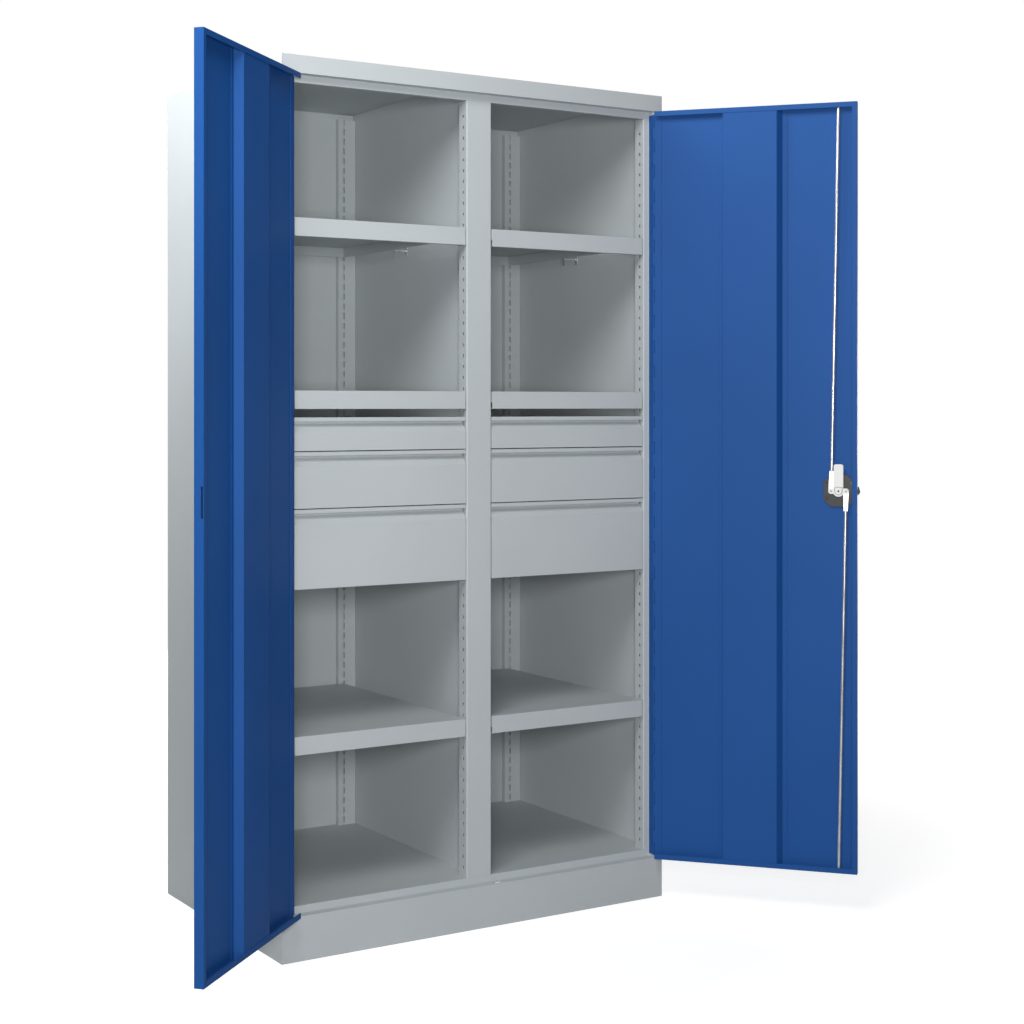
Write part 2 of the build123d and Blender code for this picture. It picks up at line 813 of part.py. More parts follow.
# Rods: each turns on its pin of the cam and leans towards its slot in the middle line of the lock
rod_reach = {
    "upper": door_top - rod_inset - lock_height,
    "lower": lock_height - door_bottom - rod_inset,
}
for name, upward in (("upper", 1), ("lower", -1)):
    # seen from inside, the upper rod's pin lies away from the free edge and the lower one's towards it
    pin_x = upward * rod_crank
    reach = rod_reach[name]
    lean = degrees(atan2(rod_crank, reach))
    rod_length = hypot(rod_crank, reach)
    plane = lock_plane(sleeve_back, pin_x, 0, lean)
    with BuildPart() as rod:
        with BuildSketch(plane):
            Circle(sleeve_width / 2)
            with Locations((0, upward * sleeve_length / 2)):
                Trapezoid(sleeve_width, sleeve_length, 90 - sleeve_taper, rotation=90 - upward * 90)
            Circle(rod_pin_radius + rod_pin_clearance, mode=Mode.SUBTRACT)
        extrude(amount=2 * rod_radius)
        up_rod = plane.from_local_coords(Vector(0, upward, 0)) - plane.origin
        centre = plane.from_local_coords((0, upward * sleeve_length, rod_radius))
        with BuildSketch(Plane(origin=centre, z_dir=up_rod)):
            Circle(rod_radius)
        extrude(amount=rod_length - sleeve_length)
    keep(rod, f"{name}_rod")

# Outside of the right door: an escutcheon, and a handle with the lock cylinder in its hub
with BuildPart() as handle_escutcheon:
    with BuildSketch(lock_plane(skin_out)):
        Circle(escutcheon_radius)
    extrude(amount=escutcheon_thickness)
    outer_rim = faces().sort_by(Axis((0, 0, 0), into_cabinet))[0].edges()
    chamfer(outer_rim, escutcheon_bevel)
    with BuildSketch(lock_plane(skin_out)):
        Circle(handle_hub_radius)
    extrude(amount=escutcheon_thickness, mode=Mode.SUBTRACT)
keep(handle_escutcheon, "handle_escutcheon")

handle_back = skin_out - escutcheon_thickness - handle_gap
handle_face = handle_back - handle_thickness
with BuildPart() as turn_handle:
    with BuildSketch(lock_plane(handle_back)):
        SlotOverall(handle_length, handle_width)
    extrude(amount=handle_thickness)
    chamfer(faces().sort_by(Axis((0, 0, 0), into_cabinet))[0].edges(), handle_edge)
    with BuildSketch(lock_plane(skin_out)):
        Circle(handle_hub_radius - hub_clearance)
    extrude(amount=skin_out - handle_back)
    with BuildSketch(lock_plane(cam_back)):
        Rectangle(spindle_side, spindle_side)
    extrude(amount=cam_back - skin_out)
    with BuildSketch(lock_plane(handle_face)):
        Circle(cylinder_radius + cylinder_clearance)
    extrude(amount=-(cylinder_length + cylinder_end_gap - cylinder_proud), mode=Mode.SUBTRACT)
keep(turn_handle, "turn_handle")

with BuildPart() as lock_cylinder:
    with BuildSketch(lock_plane(handle_face - cylinder_proud)):
        Circle(cylinder_radius)
    extrude(amount=-cylinder_length)
    with BuildSketch(lock_plane(handle_face - cylinder_proud)):
        Rectangle(key_slot_width, key_slot_length)
    extrude(amount=-key_slot_depth, mode=Mode.SUBTRACT)
keep(lock_cylinder, "lock_cylinder")

with BuildPart() as lock_screws:
    with BuildSketch(lock_plane(plate_face)):
        with GridLocations(screws_across, screws_apart, 2, 2):
            RegularPolygon(screw_radius, 6)
    extrude(amount=screw_head)
keep(lock_screws, "lock_screws")
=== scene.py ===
"""Looks of a tall sheet steel storage cabinet with open doors, shelves and drawers.

Lengths are in metres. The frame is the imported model's: the origin is the middle of the footprint on
the floor, +Z is up and the doors face -Y.
"""

from __future__ import annotations

import json
import logging
import math
from dataclasses import dataclass, field
from enum import Enum
from typing import Sequence

import bmesh
import bpy
from mathutils import Matrix, Vector


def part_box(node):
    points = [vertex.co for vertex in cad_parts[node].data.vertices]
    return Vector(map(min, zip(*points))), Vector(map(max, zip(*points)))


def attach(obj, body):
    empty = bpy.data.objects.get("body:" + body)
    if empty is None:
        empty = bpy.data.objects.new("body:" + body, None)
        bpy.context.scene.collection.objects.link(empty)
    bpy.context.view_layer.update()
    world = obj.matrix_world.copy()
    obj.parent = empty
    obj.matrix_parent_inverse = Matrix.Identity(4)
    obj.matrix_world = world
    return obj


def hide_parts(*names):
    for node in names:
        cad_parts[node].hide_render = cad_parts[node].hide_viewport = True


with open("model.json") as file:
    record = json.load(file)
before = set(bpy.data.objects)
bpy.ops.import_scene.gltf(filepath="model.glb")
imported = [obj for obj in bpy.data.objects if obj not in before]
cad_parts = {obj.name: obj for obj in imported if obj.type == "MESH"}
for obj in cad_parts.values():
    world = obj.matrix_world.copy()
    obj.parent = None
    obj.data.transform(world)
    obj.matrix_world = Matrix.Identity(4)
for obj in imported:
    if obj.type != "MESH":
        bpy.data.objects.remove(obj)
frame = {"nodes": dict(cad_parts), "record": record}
log = logging.getLogger("cabinet")
Colour = tuple[float, float, float]
Point = tuple[float, float, float]
Node = bpy.types.Node
Socket = bpy.types.NodeSocket
Mesh = bmesh.types.BMesh
Verts = list[bmesh.types.BMVert]
SHARP_ANGLE = 0.6  # radians between two faces, from which their edge is rounded
QUARTER = math.radians(90.0)


class Side(Enum):
    """The two columns and doors, with the sign of their X."""

    LEFT = -1
    RIGHT = 1

    @property
    def word(self) -> str:
        """The side's name as the nodes spell it."""
        return self.name.lower()


class Grain(Enum):
    """Which way a metal's fine streaks run."""

    UPRIGHT = (60.0, 60.0, 2.0)
    ALONG_RUNNER = (60.0, 2.0, 60.0)
    NONE = (40.0, 40.0, 40.0)


class Graph:
    """A node tree with short calls to add and join nodes."""

    def __init__(self, tree: bpy.types.NodeTree) -> None:
        """Wrap a tree.

        Args:
            tree: The material's or group's node tree.
        """
        self.tree = tree

    def node(self, kind: str, **settings: object) -> Node:
        """Add a node.

        Args:
            kind: Blender's name of the node type.
            settings: Attributes to set on it.

        Returns:
            The new node.
        """
        made = self.tree.nodes.new(kind)
        for name, value in settings.items():
            setattr(made, name, value)
        return made

    def join(self, source: Socket, target: Socket) -> None:
        """Link one socket to another."""
        self.tree.links.new(source, target)

    def feed(self, socket: Socket, value: object) -> None:
        """Link a socket's source to it, or set it to a plain value."""
        if isinstance(value, Socket):
            self.join(value, socket)
        else:
            socket.default_value = value

    def maths(self, operation: str, first: object, second: object, clamp: bool = False) -> Socket:
        """Work out a sum of two numbers.

        Args:
            operation: Blender's name of the operation.
            first: A socket or a number.
            second: A socket or a number.
            clamp: Whether the result is kept between 0 and 1.

        Returns:
            The socket that holds the result.
        """
        made = self.node("ShaderNodeMath", operation=operation, use_clamp=clamp)
        self.feed(made.inputs[0], first)
        self.feed(made.inputs[1], second)
        return made.outputs[0]

    def ramp(
        self, value: object, low: float, high: float, to_low: float = 0.0, to_high: float = 1.0
    ) -> Socket:
        """Map a number smoothly from one range to another.

        Args:
            value: The socket to map.
            low: Where the source range starts.
            high: Where it ends.
            to_low: Result at the start.
            to_high: Result at the end.

        Returns:
            The socket that holds the mapped number.
        """
        made = self.node("ShaderNodeMapRange", interpolation_type="SMOOTHSTEP")
        self.feed(made.inputs["Value"], value)
        made.inputs["From Min"].default_value = low
        made.inputs["From Max"].default_value = high
        made.inputs["To Min"].default_value = to_low
        made.inputs["To Max"].default_value = to_high
        return made.outputs["Result"]

    def blend(self, factor: object, first: object, second: object, how: str = "MIX") -> Socket:
        """Mix two colours.

        Args:
            factor: Share of the second one.
            first: A colour or its socket.
            second: A colour or its socket.
            how: Blender's name of the blend.

        Returns:
            The socket that holds the mixed colour.
        """
        made = self.node("ShaderNodeMix", data_type="RGBA", blend_type=how)
        self.feed(made.inputs["Factor"], factor)
        for socket, value in ((made.inputs[6], first), (made.inputs[7], second)):
            self.feed(socket, value if isinstance(value, Socket) else (*value, 1.0))
        return made.outputs[2]

    def noise(self, vector: object, scale: object, detail: float) -> Socket:
        """Add a noise pattern.

        Args:
            vector: Where it is read.
            scale: Cells to a metre.
            detail: Octaves.

        Returns:
            The socket that holds its strength.
        """
        made = self.node("ShaderNodeTexNoise")
        self.join(vector, made.inputs["Vector"])
        self.feed(made.inputs["Scale"], scale)
        made.inputs["Detail"].default_value = detail
        return made.outputs["Fac"]


class EffectGroup:
    """A shader node group that several finishes share."""

    name: str = ""
    inputs: Sequence[tuple[str, str, object]] = ()
    outputs: Sequence[tuple[str, str]] = ()

    def tree(self) -> bpy.types.NodeTree:
        """Make the group once.

        Returns:
            The group's tree, made now or on an earlier call.
        """
        known = bpy.data.node_groups.get(self.name)
        if known:
            return known
        made = bpy.data.node_groups.new(self.name, "ShaderNodeTree")
        for label, kind, value in self.inputs:
            socket = made.interface.new_socket(name=label, in_out="INPUT", socket_type=kind)
            socket.default_value = value
        for label, kind in self.outputs:
            made.interface.new_socket(name=label, in_out="OUTPUT", socket_type=kind)
        graph = Graph(made)
        self.wire(graph, graph.node("NodeGroupInput"), graph.node("NodeGroupOutput"))
        return made

    def wire(self, graph: Graph, given: Node, result: Node) -> None:
        """Fill the group.

        Args:
            graph: The group's tree.
            given: Its input node.
            result: Its output node.
        """
        raise NotImplementedError

    def place(self, graph: Graph, **values: object) -> Node:
        """Put the group into a material.

        Args:
            graph: The material's tree.
            values: Input values, with underscores for spaces.

        Returns:
            The group node.
        """
        node = graph.node("ShaderNodeGroup", node_tree=self.tree())
        for label, value in values.items():
            graph.feed(node.inputs[label.replace("_", " ")], value)
        return node


class CoatGrain(EffectGroup):
    """Orange peel of a baked powder coat, with a slow drift in its colour."""

    name = "coat_grain"
    inputs = (("Peel Scale", "NodeSocketFloat", 900.0), ("Speckle", "NodeSocketFloat", 0.3))
    outputs = (("Height", "NodeSocketFloat"), ("Drift", "NodeSocketFloat"), ("Speck", "NodeSocketFloat"))
    coarse_scale = 0.31
    coarse_share = 0.4
    drift_scale = 2.3
    speck_scale = 1400.0

    def wire(self, graph: Graph, given: Node, result: Node) -> None:
        """Fill the group with a fine and a slow noise."""
        place = graph.node("ShaderNodeTexCoord").outputs["Object"]
        fine = graph.noise(place, given.outputs["Peel Scale"], detail=2.0)
        wide = graph.maths("MULTIPLY", given.outputs["Peel Scale"], self.coarse_scale)
        coarse = graph.noise(place, wide, detail=1.0)
        fine_part = graph.maths("MULTIPLY", fine, 1.0 - self.coarse_share)
        coarse_part = graph.maths("MULTIPLY", coarse, self.coarse_share)
        graph.join(graph.maths("ADD", fine_part, coarse_part), result.inputs["Height"])
        slow = graph.noise(place, self.drift_scale, detail=3.0)
        graph.join(graph.ramp(slow, low=0.3, high=0.7), result.inputs["Drift"])
        speck = graph.ramp(graph.noise(place, self.speck_scale, detail=0.0), low=0.62, high=0.74)
        graph.join(graph.maths("MULTIPLY", speck, given.outputs["Speckle"]), result.inputs["Speck"])


class EdgeWear(EffectGroup):
    """Where sharp edges are rubbed: a broken mask along every fold and cut edge."""

    name = "edge_wear"
    inputs = (("Radius", "NodeSocketFloat", 0.0015), ("Breakup", "NodeSocketFloat", 60.0))
    outputs = (("Mask", "NodeSocketFloat"),)

    def wire(self, graph: Graph, given: Node, result: Node) -> None:
        """Fill the group: a bevelled normal set against the true one finds the edges."""
        bevel = graph.node("ShaderNodeBevel", samples=4)
        graph.join(given.outputs["Radius"], bevel.inputs["Radius"])
        surface = graph.node("ShaderNodeNewGeometry")
        dot = graph.node("ShaderNodeVectorMath", operation="DOT_PRODUCT")
        graph.join(bevel.outputs["Normal"], dot.inputs[0])
        graph.join(surface.outputs["Normal"], dot.inputs[1])
        edge = graph.ramp(dot.outputs["Value"], low=0.97, high=0.8)
        place = graph.node("ShaderNodeTexCoord").outputs["Object"]
        patches = graph.noise(place, given.outputs["Breakup"], detail=4.0)
        broken = graph.ramp(patches, low=0.42, high=0.6)
        graph.join(graph.maths("MULTIPLY", edge, broken, clamp=True), result.inputs["Mask"])


class SettledDust(EffectGroup):
    """Fine dust on what faces up, thicker in patches."""

    name = "settled_dust"
    inputs = (("Amount", "NodeSocketFloat", 0.2),)
    outputs = (("Mask", "NodeSocketFloat"),)
    patch_scale = 7.0
    thinnest = 0.35

    def wire(self, graph: Graph, given: Node, result: Node) -> None:
        """Fill the group: upward faces times a patchy noise."""
        surface = graph.node("ShaderNodeNewGeometry")
        parts = graph.node("ShaderNodeSeparateXYZ")
        graph.join(surface.outputs["Normal"], parts.inputs[0])
        up = graph.ramp(parts.outputs["Z"], low=0.6, high=1.0)
        place = graph.node("ShaderNodeTexCoord").outputs["Object"]
        patches = graph.noise(place, self.patch_scale, detail=5.0)
        patch = graph.ramp(patches, low=0.3, high=0.75, to_low=self.thinnest)
        settled = graph.maths("MULTIPLY", up, patch)
        mask = graph.maths("MULTIPLY", settled, given.outputs["Amount"], clamp=True)
        graph.join(mask, result.inputs["Mask"])


class Scuffs(EffectGroup):
    """Thin, long handling marks that change the gloss more than the colour."""

    name = "scuffs"
    inputs = (("Amount", "NodeSocketFloat", 0.3),)
    outputs = (("Mask", "NodeSocketFloat"),)
    strokes = ((0.35, (160.0, 160.0, 9.0)), (-0.9, (9.0, 30.0, 150.0)))
    tilt = 0.4
    where_scale = 3.1

    def wire(self, graph: Graph, given: Node, result: Node) -> None:
        """Fill the group: two stretched noises that cross at a slant."""
        place = graph.node("ShaderNodeTexCoord").outputs["Object"]
        marks = []
        for slant, stretch in self.strokes:
            mapping = graph.node("ShaderNodeMapping")
            graph.join(place, mapping.inputs["Vector"])
            mapping.inputs["Rotation"].default_value = (slant, slant * self.tilt, slant)
            mapping.inputs["Scale"].default_value = stretch
            stroke = graph.noise(mapping.outputs["Vector"], scale=1.0, detail=3.0)
            marks.append(graph.ramp(stroke, low=0.66, high=0.72))
        where = graph.ramp(graph.noise(place, self.where_scale, detail=2.0), low=0.5, high=0.68)
        marked = graph.maths("MULTIPLY", graph.maths("MAXIMUM", marks[0], marks[1]), where)
        mask = graph.maths("MULTIPLY", marked, given.outputs["Amount"], clamp=True)
        graph.join(mask, result.inputs["Mask"])


def new_material(name: str) -> tuple[bpy.types.Material, Graph, Node]:
    """Start a node material.

    Args:
        name: The material's name.

    Returns:
        The material, its graph and its shader node.
    """
    material = bpy.data.materials.new(name)
    material.use_nodes = True
    shader = material.node_tree.nodes["Principled BSDF"]
    return material, Graph(material.node_tree), shader


def shade(colour: Colour, factor: float) -> Colour:
    """A darker or lighter version of a colour."""
    return tuple(min(1.0, channel * factor) for channel in colour)


def round_and_bump(
    graph: Graph, shader: Node, radius: float, height: Socket, depth: float, strength: float
) -> None:
    """Round a surface's edges in its shading and add relief.

    Args:
        graph: The material's graph.
        shader: Its shader node.
        radius: Radius of the edges.
        height: The relief.
        depth: How deep a full step of the relief is.
        strength: Strength of the relief.
    """
    bevel = graph.node("ShaderNodeBevel", samples=4)
    bevel.inputs["Radius"].default_value = radius
    bump = graph.node("ShaderNodeBump")
    bump.inputs["Strength"].default_value = strength
    bump.inputs["Distance"].default_value = depth
    graph.join(height, bump.inputs["Height"])
    graph.join(bevel.outputs["Normal"], bump.inputs["Normal"])
    graph.join(bump.outputs["Normal"], shader.inputs["Normal"])


@dataclass(frozen=True)
class PowderCoat:
    """Baked powder paint on sheet steel."""

    name: str
    colour: Colour
    wear_colour: Colour
    roughness: float = 0.42
    gloss: float = 0.3
    peel_scale: float = 900.0
    peel_depth: float = 0.00006
    peel_strength: float = 0.35
    edge_radius: float = 0.0012
    drift: float = 0.05
    speckle: float = 0.2
    wear: float = 0.35
    wear_reach: float = 1.4
    scuffs: float = 0.5
    scuff_roughness: float = 0.18
    speck_lift: float = 1.25
    dust: float = 0.12
    dust_roughness: float = 0.5
    dust_colour: Colour = (0.62, 0.6, 0.56)

    def build(self) -> bpy.types.Material:
        """Make the material.

        Returns:
            The finished material.
        """
        material, graph, shader = new_material(self.name)
        grain = CoatGrain().place(graph, Peel_Scale=self.peel_scale, Speckle=self.speckle)
        edge = EdgeWear().place(graph, Radius=self.edge_radius * self.wear_reach)
        dust = SettledDust().place(graph, Amount=self.dust)
        scuffs = Scuffs().place(graph, Amount=self.scuffs)
        light, dark = shade(self.colour, 1 + self.drift), shade(self.colour, 1 - self.drift)
        paint = graph.blend(grain.outputs["Drift"], dark, light)
        paint = graph.blend(grain.outputs["Speck"], paint, shade(self.colour, self.speck_lift))
        worn = graph.maths("MULTIPLY", edge.outputs["Mask"], self.wear)
        paint = graph.blend(worn, paint, self.wear_colour)
        paint = graph.blend(dust.outputs["Mask"], paint, self.dust_colour)
        graph.join(paint, shader.inputs["Base Color"])
        scuffed = graph.maths("MULTIPLY", scuffs.outputs["Mask"], self.scuff_roughness)
        dusty = graph.maths("MULTIPLY", dust.outputs["Mask"], self.dust_roughness)
        rough = graph.maths("ADD", scuffed, self.roughness)
        graph.join(graph.maths("ADD", rough, dusty, clamp=True), shader.inputs["Roughness"])
        shader.inputs["Specular IOR Level"].default_value = self.gloss
        peel = grain.outputs["Height"]
        round_and_bump(graph, shader, self.edge_radius, peel, self.peel_depth, self.peel_strength)
        return material


@dataclass(frozen=True)
class PlatedSteel:
    """Zinc plate or galvanising, with rolling streaks or spangle."""

    name: str
    colour: Colour
    roughness: float = 0.34
    grain: Grain = Grain.UPRIGHT
    spangle: float = 0.0
    metallic: float = 0.85
    edge_radius: float = 0.0006
    streak_scale: float = 6.0
    dark_streak: float = 0.86
    light_streak: float = 1.08
    flake_scale: float = 140.0
    flake_shade: float = 0.62
    stain_scale: float = 21.0
    stain: float = 0.25
    stain_colour: Colour = (0.42, 0.4, 0.36)
    smoother: float = 0.07
    rougher: float = 0.1
    relief: float = 0.00003
    relief_strength: float = 0.25

    def build(self) -> bpy.types.Material:
        """Make the material.

        Returns:
            The finished material.
        """
        material, graph, shader = new_material(self.name)
        place = graph.node("ShaderNodeTexCoord").outputs["Object"]
        mapping = graph.node("ShaderNodeMapping")
        graph.join(place, mapping.inputs["Vector"])
        mapping.inputs["Scale"].default_value = self.grain.value
        streak = graph.noise(mapping.outputs["Vector"], self.streak_scale, detail=4.0)
        dark, light = shade(self.colour, self.dark_streak), shade(self.colour, self.light_streak)
        tone = graph.blend(graph.ramp(streak, low=0.3, high=0.7), dark, light)
        if self.spangle:
            flakes = graph.node("ShaderNodeTexVoronoi", feature="F1")
            graph.join(place, flakes.inputs["Vector"])
            flakes.inputs["Scale"].default_value = self.flake_scale
            parts = graph.node("ShaderNodeSeparateColor")
            graph.join(flakes.outputs["Color"], parts.inputs[0])
            share = graph.maths("MULTIPLY", parts.outputs[0], self.spangle)
            tone = graph.blend(share, tone, shade(self.colour, self.flake_shade))
        stained = graph.ramp(graph.noise(place, self.stain_scale, detail=5.0), low=0.55, high=0.75)
        tone = graph.blend(graph.maths("MULTIPLY", stained, self.stain), tone, self.stain_colour)
        graph.join(tone, shader.inputs["Base Color"])
        shader.inputs["Metallic"].default_value = self.metallic
        low, high = self.roughness - self.smoother, self.roughness + self.rougher
        graph.join(graph.ramp(streak, 0.3, 0.7, low, high), shader.inputs["Roughness"])
        round_and_bump(graph, shader, self.edge_radius, streak, self.relief, self.relief_strength)
        return material


@dataclass(frozen=True)
class MouldedPlastic:
    """Moulded plastic with a fine spark-eroded grain."""

    name: str
    colour: Colour
    roughness: float = 0.5
    grain_scale: float = 1500.0
    grain_strength: float = 0.4
    edge_radius: float = 0.0008
    dust: float = 0.25
    dust_colour: Colour = (0.4, 0.39, 0.37)
    speckle: float = 0.15
    wear_reach: float = 1.5
    wear: float = 0.3
    worn_lift: float = 2.4
    darker: float = 0.9
    lighter: float = 1.12
    smoother: float = 0.06
    rougher: float = 0.08
    grain_depth: float = 0.00004

    def build(self) -> bpy.types.Material:
        """Make the material.

        Returns:
            The finished material.
        """
        material, graph, shader = new_material(self.name)
        grain = CoatGrain().place(graph, Peel_Scale=self.grain_scale, Speckle=self.speckle)
        edge = EdgeWear().place(graph, Radius=self.edge_radius * self.wear_reach)
        dust = SettledDust().place(graph, Amount=self.dust)
        dark, light = shade(self.colour, self.darker), shade(self.colour, self.lighter)
        tone = graph.blend(grain.outputs["Drift"], dark, light)
        worn = graph.maths("MULTIPLY", edge.outputs["Mask"], self.wear)
        tone = graph.blend(worn, tone, shade(self.colour, self.worn_lift))
        tone = graph.blend(dust.outputs["Mask"], tone, self.dust_colour)
        graph.join(tone, shader.inputs["Base Color"])
        relief = grain.outputs["Height"]
        low, high = self.roughness - self.smoother, self.roughness + self.rougher
        graph.join(graph.ramp(relief, 0.3, 0.7, low, high), shader.inputs["Roughness"])
        round_and_bump(graph, shader, self.edge_radius, relief, self.grain_depth, self.grain_strength)
        return material


@dataclass(frozen=True)
class StudioGround:
    """The plain pale floor, lifted for the camera alone and more so where it is far off."""

    name: str = "studio_ground"
    colour: Colour = (0.6, 0.6, 0.6)
    drift: float = 0.995
    drift_scale: float = 1.2
    roughness: float = 0.75
    near: float = 1.2
    far: float = 4.0
    near_lift: float = 0.72
    far_lift: float = 1.0

    def build(self) -> bpy.types.Material:
        """Make the material.

        Returns:
            The finished material.
        """
        material, graph, shader = new_material(self.name)
        place = graph.node("ShaderNodeTexCoord").outputs["Object"]
        drift = graph.ramp(graph.noise(place, self.drift_scale, detail=2.0), low=0.3, high=0.7)
        tone = graph.blend(drift, shade(self.colour, self.drift), self.colour)
        graph.join(tone, shader.inputs["Base Color"])
        shader.inputs["Roughness"].default_value = self.roughness
        shader.inputs["Emission Color"].default_value = (1.0, 1.0, 1.0, 1.0)
        seen = graph.node("ShaderNodeLightPath").outputs["Is Camera Ray"]
        away = graph.node("ShaderNodeVectorMath", operation="LENGTH")
        graph.join(place, away.inputs[0])
        lift = graph.ramp(away.outputs["Value"], self.near, self.far, self.near_lift, self.far_lift)
        graph.join(graph.maths("MULTIPLY", seen, lift), shader.inputs["Emission Strength"])
        return material


class Finish(Enum):
    """The cabinet's finishes. Each member's value makes its material."""

    DOOR_BLUE = PowderCoat(
        "door_blue_coat", (0.0125, 0.088, 0.322), (0.07, 0.17, 0.42), roughness=0.55,
        gloss=0.18, drift=0.04, dust=0.05,
    )
    CARCASS_GREY = PowderCoat(
        "carcass_grey_coat", (0.55, 0.59, 0.605), (0.72, 0.72, 0.71), roughness=0.45,
        peel_scale=1300.0, speckle=0.35, drift=0.025, dust=0.1,
    )
    ZINC = PlatedSteel("bright_zinc", (0.84, 0.85, 0.87), roughness=0.3)
    GALVANISED = PlatedSteel("galvanised_rail", (0.62, 0.63, 0.65), 0.42, Grain.ALONG_RUNNER, spangle=0.5)
    CAST_WHITE = MouldedPlastic("cast_cam", (0.8, 0.8, 0.77), roughness=0.36, grain_strength=0.2)
    BLACK_PLASTIC = MouldedPlastic("black_moulding", (0.009, 0.009, 0.011), roughness=0.4, dust=0.05)
    BLACKENED_STEEL = PlatedSteel("blackened_screw", (0.03, 0.03, 0.033), 0.38, metallic=0.7)
    GLIDE_WHITE = MouldedPlastic("glide_moulding", (0.75, 0.75, 0.72), roughness=0.4)
    CHROME = PlatedSteel(
        "cylinder_chrome", (0.8, 0.81, 0.83), 0.16, Grain.NONE, metallic=1.0, edge_radius=0.0003
    )

    def material(self) -> bpy.types.Material:
        """The finish's material, made on the first call.

        Returns:
            The one material that every piece with this finish shares.
        """
        return bpy.data.materials.get(self.value.name) or self.value.build()


def coat(obj: bpy.types.Object, finish: Finish) -> bpy.types.Object:
    """Give an object one finish.

    Args:
        obj: The object.
        finish: Its finish.

    Returns:
        The object.
    """
    obj.data.materials.clear()
    obj.data.materials.append(finish.material())
    return obj


def make_piece(
    name: str, mesh: Mesh, body: str, finish: Finish, smooth: bool = False
) -> bpy.types.Object:
    """Turn a finished bmesh into a piece that rides on a body.

    Args:
        name: The piece's name.
        mesh: Its shape, in the frame. It is freed here.
        body: The body that carries it.
        finish: Its finish.
        smooth: Whether its faces are shaded smooth.

    Returns:
        The new object.
    """
    data = bpy.data.meshes.new(name)
    for face in mesh.faces:
        face.smooth = smooth
    mesh.to_mesh(data)
    mesh.free()
    obj = bpy.data.objects.new(name, data)
    bpy.context.scene.collection.objects.link(obj)
    coat(obj, finish)
    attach(obj, body)
    log.info("%s: %d faces on %s", name, len(data.polygons), body)
    return obj


def block(mesh: Mesh, low: Point, high: Point, move: Matrix | None = None) -> Verts:
    """Add a box between two corners.

    Args:
        mesh: The mesh that takes it.
        low: Its lowest corner.
        high: Its highest corner.
        move: A transform for the finished box.

    Returns:
        The box's vertices.
    """
    size = Vector(high) - Vector(low)
    place = Matrix.Translation((Vector(low) + Vector(high)) / 2) @ Matrix.Diagonal((*size, 1.0))
    made = bmesh.ops.create_cube(mesh, size=1.0, matrix=(move or Matrix()) @ place)
    return made["verts"]


def rod(
    mesh: Mesh, centre: Point, radius: float, length: float, sides: int, turn: Matrix | None = None
) -> Verts:
    """Add a closed cylinder that stands on Z before it is turned.

    Args:
        mesh: The mesh that takes it.
        centre: Its middle.
        radius: Its radius.
        length: Its length.
        sides: Facets round it.
        turn: Its turn about its middle.

    Returns:
        Its vertices.
    """
    place = Matrix.Translation(centre) @ (turn or Matrix())
    made = bmesh.ops.create_cone(
        mesh, cap_ends=True, segments=sides, radius1=radius, radius2=radius, depth=length, matrix=place
    )
    return made["verts"]


def cut(mesh: Mesh, point: Point, normal: Point) -> None:
    """Cut every face of a mesh along a plane.

    Args:
        mesh: The mesh.
        point: A point of the plane.
        normal: The plane's normal.
    """
    everything = mesh.faces[:] + mesh.edges[:] + mesh.verts[:]
    bmesh.ops.bisect_plane(mesh, geom=everything, plane_co=point, plane_no=normal)


def ease(mesh: Mesh, radius: float, segments: int = 2) -> None:
    """Round every sharp edge of a mesh.

    Args:
        mesh: The mesh.
        radius: How far the rounding reaches from an edge.
        segments: Its steps.
    """
    sharp = [edge for edge in mesh.edges if edge.is_manifold and edge.calc_face_angle() > SHARP_ANGLE]
    bmesh.ops.bevel(
        mesh, geom=sharp, offset=radius, segments=segments, profile=0.5, affect="EDGES", material=-1
    )


def merge(mesh: Mesh, part: Mesh) -> None:
    """Add a finished part to a mesh.

    Args:
        mesh: The mesh that takes it.
        part: The part. It is freed here.
    """
    data = bpy.data.meshes.new("merged_part")
    part.to_mesh(data)
    part.free()
    mesh.from_mesh(data)
    bpy.data.meshes.remove(data)


@dataclass
class DoorFrame:
    """Where a door stands at rest: x runs to its free edge on the left and from it on the right."""

    side: Side
    opening: float
    hinge_x: float = 0.4863
    hinge_y: float = -0.3208

    def matrix(self, closed: bool = False) -> Matrix:
        """The door's own frame.

        Args:
            closed: Whether it is wanted for the closed door.

        Returns:
            The matrix from the door's frame to the cabinet's.
        """
        angle = 0.0 if closed else math.radians(self.opening) * self.side.value
        place = Matrix.Translation((self.side.value * self.hinge_x, self.hinge_y, 0.0))
        return place @ Matrix.Rotation(angle, 4, "Z")


